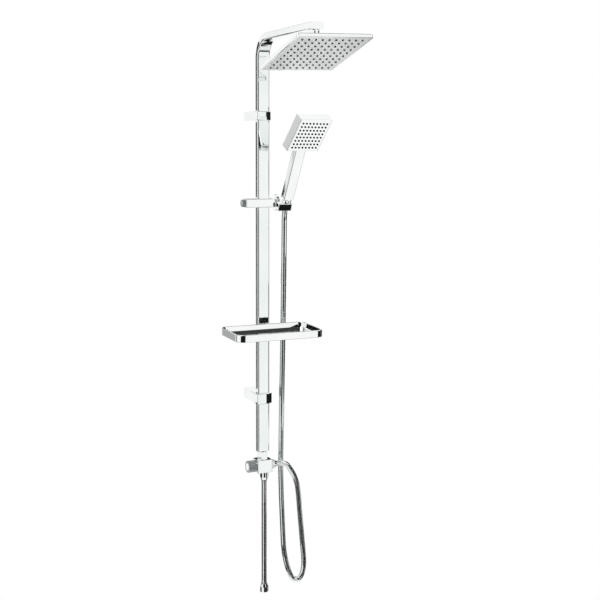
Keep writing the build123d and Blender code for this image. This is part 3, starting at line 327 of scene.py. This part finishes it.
class Shader:
    """Node material with short helpers, on object coordinates in metres."""

    def __init__(self, name):
        self.material = bpy.data.materials.new(name)
        self.material.use_nodes = True
        self.tree = self.material.node_tree
        self.surface = self.tree.nodes["Principled BSDF"]
        self.coordinates = self.add("ShaderNodeTexCoord").outputs["Object"]

    def add(self, kind, **values):
        node = self.tree.nodes.new(kind)
        for key, value in values.items():
            setattr(node, key, value)
        return node

    def link(self, start, end):
        self.tree.links.new(start, end)

    def stretched(self, scale):
        """Object coordinates scaled by a factor on each axis."""
        mapping = self.add("ShaderNodeMapping")
        mapping.inputs["Scale"].default_value = scale
        self.link(self.coordinates, mapping.inputs["Vector"])
        return mapping.outputs["Vector"]

    def noise(self, scale, detail, vector=None):
        texture = self.add("ShaderNodeTexNoise")
        texture.inputs["Scale"].default_value = scale
        texture.inputs["Detail"].default_value = detail
        self.link(vector or self.coordinates, texture.inputs["Vector"])
        return texture.outputs["Fac"]

    def spread(self, value, low, high):
        """Maps a noise value to a range."""
        ramp = self.add("ShaderNodeMapRange")
        ramp.inputs["From Min"].default_value = NOISE_RANGE[0]
        ramp.inputs["From Max"].default_value = NOISE_RANGE[1]
        ramp.inputs["To Min"].default_value = low
        ramp.inputs["To Max"].default_value = high
        self.link(value, ramp.inputs["Value"])
        return ramp.outputs["Result"]

    def colour(self, value, dark, light):
        """Blends two colours by a noise value into the base colour."""
        ramp = self.add("ShaderNodeValToRGB")
        for stop, place, tone in zip(ramp.color_ramp.elements, COLOUR_STOPS, (dark, light)):
            stop.position = place
            stop.color = (*tone, 1)
        self.link(value, ramp.inputs["Fac"])
        self.link(ramp.outputs["Color"], self.surface.inputs["Base Color"])

    def bump(self, value, strength, distance):
        bump = self.add("ShaderNodeBump")
        bump.inputs["Strength"].default_value = strength
        bump.inputs["Distance"].default_value = distance
        self.link(value, bump.inputs["Height"])
        self.link(bump.outputs["Normal"], self.surface.inputs["Normal"])


def metal(name, dark, light, smooth, rough, grain=(1, 1, 1), bump=0.02):
    """Metal whose tone and polish vary a little, with a faint surface grain."""
    shader = Shader(name)
    shader.surface.inputs["Metallic"].default_value = 1.0
    shader.colour(shader.noise(METAL_CLOUDS, 4.0), dark, light)
    wiped = shader.noise(METAL_WIPES, 6.0, shader.stretched(grain))
    shader.link(shader.spread(wiped, smooth, rough), shader.surface.inputs["Roughness"])
    shader.bump(shader.noise(METAL_GRAIN, 2.0, shader.stretched(grain)), bump, GRAIN_DEPTH)
    return shader.material


def moulded(name, dark, light, smooth, rough, bump=0.1):
    """Rubber or plastic with a fine moulded grain."""
    shader = Shader(name)
    shader.colour(shader.noise(MOULDED_CLOUDS, 4.0), dark, light)
    grain = shader.noise(MOULDED_GRAIN, 3.0)
    shader.link(shader.spread(grain, smooth, rough), shader.surface.inputs["Roughness"])
    shader.bump(grain, bump, GRAIN_DEPTH)
    return shader.material


def finishes():
    """One material for each of the record's slots."""
    return {
        "chrome": metal("polished_chrome", (0.84, 0.87, 0.865), (0.90, 0.925, 0.92), 0.02, 0.06),
        "plated_plastic": metal("plated_moulding", (0.88, 0.905, 0.90), (0.93, 0.945, 0.94), 0.02, 0.06),
        "spray_plate": metal("spray_plate", (0.90, 0.92, 0.92), (0.95, 0.96, 0.96), 0.34, 0.46),
        "tray_plate": metal("tray_plate", (0.72, 0.75, 0.745), (0.78, 0.81, 0.805), 0.03, 0.08),
        "hose_steel": metal("wound_steel", (0.72, 0.75, 0.75), (0.82, 0.85, 0.85), 0.02, 0.06),
        "brass": metal("turned_brass", (0.62, 0.48, 0.20), (0.74, 0.60, 0.30), 0.18, 0.30, (1, 1, 30)),
        "steel": metal("zinc_steel", (0.52, 0.53, 0.55), (0.66, 0.67, 0.69), 0.22, 0.38),
        "silicone": moulded("grey_silicone", (0.008, 0.008, 0.009), (0.016, 0.016, 0.018), 0.45, 0.65),
        "washer_rubber": moulded("black_rubber", (0.012, 0.012, 0.012), (0.03, 0.03, 0.03), 0.6, 0.8),
        "nylon": moulded("natural_nylon", (0.70, 0.69, 0.66), (0.80, 0.79, 0.76), 0.35, 0.5),
    }


def dress(slots):
    """Gives every CAD node its slot's material, but for the two knurled grips, whose darker plating is
    painted shade, and the handset's face.
    """
    # The knurled grips keep a real knurl grain, but their dark plating tone is painted shade standing in
    # for the dark reflections on the knobs.
    knurled_painted_shade = metal("knurled_plating_painted_shade", (0.30, 0.33, 0.33), (0.42, 0.45, 0.45), 0.28, 0.40, (30, 1, 1), 0.2)
    bright = metal("handset_plate", (0.91, 0.93, 0.93), (0.95, 0.96, 0.96), 0.03, 0.06)
    special = {"lock_knob": knurled_painted_shade, "diverter_knob": knurled_painted_shade, "handset_face_plate": bright}
    for entry in frame["record"]["subparts"]:
        node = frame["nodes"][entry["node"]]
        node.data.materials.clear()
        node.data.materials.append(special.get(entry["node"], slots[entry["material_slot"]]))


def world_light():
    """White to the camera and in reflections, a little less as light on the object."""
    world = bpy.data.worlds.new("surround")
    bpy.context.scene.world = world
    world.use_nodes = True
    tree = world.node_tree
    background = tree.nodes["Background"]
    background.inputs["Color"].default_value = (1, 1, 1, 1)
    path = tree.nodes.new("ShaderNodeLightPath")
    seen = path.outputs["Is Camera Ray"]
    for kind in ("Is Glossy Ray", "Is Transmission Ray"):
        either = tree.nodes.new("ShaderNodeMath")
        either.operation = "MAXIMUM"
        tree.links.new(seen, either.inputs[0])
        tree.links.new(path.outputs[kind], either.inputs[1])
        seen = either.outputs["Value"]
    level = tree.nodes.new("ShaderNodeMapRange")
    level.inputs["To Min"].default_value = WORLD_LIGHT
    level.inputs["To Max"].default_value = 1.0
    tree.links.new(seen, level.inputs["Value"])
    tree.links.new(level.outputs["Result"], background.inputs["Strength"])


def pale_floor():
    """Plain floor below the hanging column, as white to the camera as the surround."""
    bpy.ops.mesh.primitive_plane_add(size=FLOOR_SIZE, location=(0, 0, FLOOR_HEIGHT))
    floor = bpy.context.object
    floor.name = "floor"
    floor.visible_glossy = False
    shader = Shader("floor")
    shader.surface.inputs["Base Color"].default_value = FLOOR_COLOUR
    shader.surface.inputs["Roughness"].default_value = FLOOR_ROUGHNESS
    glow = shader.add("ShaderNodeEmission")
    seen = shader.add("ShaderNodeLightPath").outputs["Is Camera Ray"]
    blend = shader.add("ShaderNodeMixShader")
    shader.link(seen, blend.inputs[0])
    shader.link(shader.surface.outputs["BSDF"], blend.inputs[1])
    shader.link(glow.outputs["Emission"], blend.inputs[2])
    shader.link(blend.outputs["Shader"], shader.tree.nodes["Material Output"].inputs["Surface"])
    floor.data.materials.append(shader.material)


def card_shade(name, soft, level):
    """Light of one grey across a card, fading to white at the card's two sides."""
    shader = Shader(name)
    shade = shader.add("ShaderNodeEmission")
    generated = shader.add("ShaderNodeTexCoord").outputs["Generated"]
    parts = shader.add("ShaderNodeSeparateXYZ")
    shader.link(generated, parts.inputs["Vector"])
    centred = shader.add("ShaderNodeMath", operation="SUBTRACT")
    centred.inputs[1].default_value = 0.5
    shader.link(parts.outputs["X"], centred.inputs[0])
    aside = shader.add("ShaderNodeMath", operation="ABSOLUTE")
    shader.link(centred.outputs["Value"], aside.inputs[0])
    fade = shader.add("ShaderNodeMapRange", interpolation_type="SMOOTHSTEP")
    fade.inputs["From Min"].default_value = 0.5 - soft
    fade.inputs["From Max"].default_value = 0.5
    fade.inputs["To Min"].default_value = level
    fade.inputs["To Max"].default_value = 1.0
    shader.link(aside.outputs["Value"], fade.inputs["Value"])
    shader.link(fade.outputs["Result"], shade.inputs["Strength"])
    shader.link(shade.outputs["Emission"], shader.tree.nodes["Material Output"].inputs["Surface"])
    return shader.material


def card(name, place, size, turn, soft, level, tip=0.0):
    """Card that only reflections show, upright unless it is tipped."""
    bpy.ops.mesh.primitive_plane_add(size=1, location=place)
    plane = bpy.context.object
    plane.name = name
    plane.scale = (*size, 1)
    plane.rotation_euler = (math.radians(90 - tip), 0, math.radians(turn))
    for ray in ("camera", "diffuse", "transmission", "volume_scatter", "shadow"):
        setattr(plane, "visible_" + ray, False)
    plane.data.materials.append(card_shade(name, soft, level))


def far_card(name, bearings, heights, soft, level):
    """Distant card between two bearings from the object, counted from straight ahead to the right."""
    bearing = sum(bearings) / 2
    angle = math.radians(bearing)
    middle = sum(heights) / 2
    place = (CARD_DISTANCE * math.sin(angle), -CARD_DISTANCE * math.cos(angle), middle)
    width = 2 * CARD_DISTANCE * math.tan(math.radians(bearings[1] - bearings[0]) / 2)
    card(name, place, (width, heights[1] - heights[0]), bearing, soft, level)


def column_cards():
    """Slim cards behind the column's left edge, between the pieces that would show them."""
    for low, high, reach in COLUMN_STRETCHES:
        middle = (low + high) / 2
        tall = high - low
        edge = (COLUMN_EDGE_PLACE, COLUMN_CARD_DEPTH, middle)
        side = (COLUMN_SIDE_PLACE - reach / 2, COLUMN_CARD_DEPTH, middle)
        card("card_column_edge", edge, (COLUMN_EDGE_WIDTH, tall), 0, *COLUMN_EDGE_SHADE)
        card("card_column_side", side, (reach, tall), 0, *COLUMN_SIDE_SHADE)


def soft_lamp(name, place, turn, size, power):
    """Rectangular lamp with soft shadows."""
    data = bpy.data.lights.new(name, "AREA")
    data.shape = "RECTANGLE"
    data.size, data.size_y = size
    data.energy = power
    lamp = bpy.data.objects.new(name, data)
    lamp.location = place
    lamp.rotation_euler = [math.radians(angle) for angle in turn]
    bpy.context.collection.objects.link(lamp)


def studio():
    """White surround and floor, cards where chrome needs an edge, and soft lamps."""
    world_light()
    pale_floor()
    for entry in FAR_CARDS:
        far_card(*entry)
    for entry in ROOM_CARDS:
        card(*entry)
    column_cards()
    for entry in NEAR_CARDS:
        card(*entry)
    for entry in LAMPS:
        soft_lamp(*entry)


camera()
materials = finishes()
dress(materials)
shower_hose(materials["hose_steel"])
inlet_hose(materials["hose_steel"])
studio()
bpy.context.scene.view_settings.view_transform = "Standard"
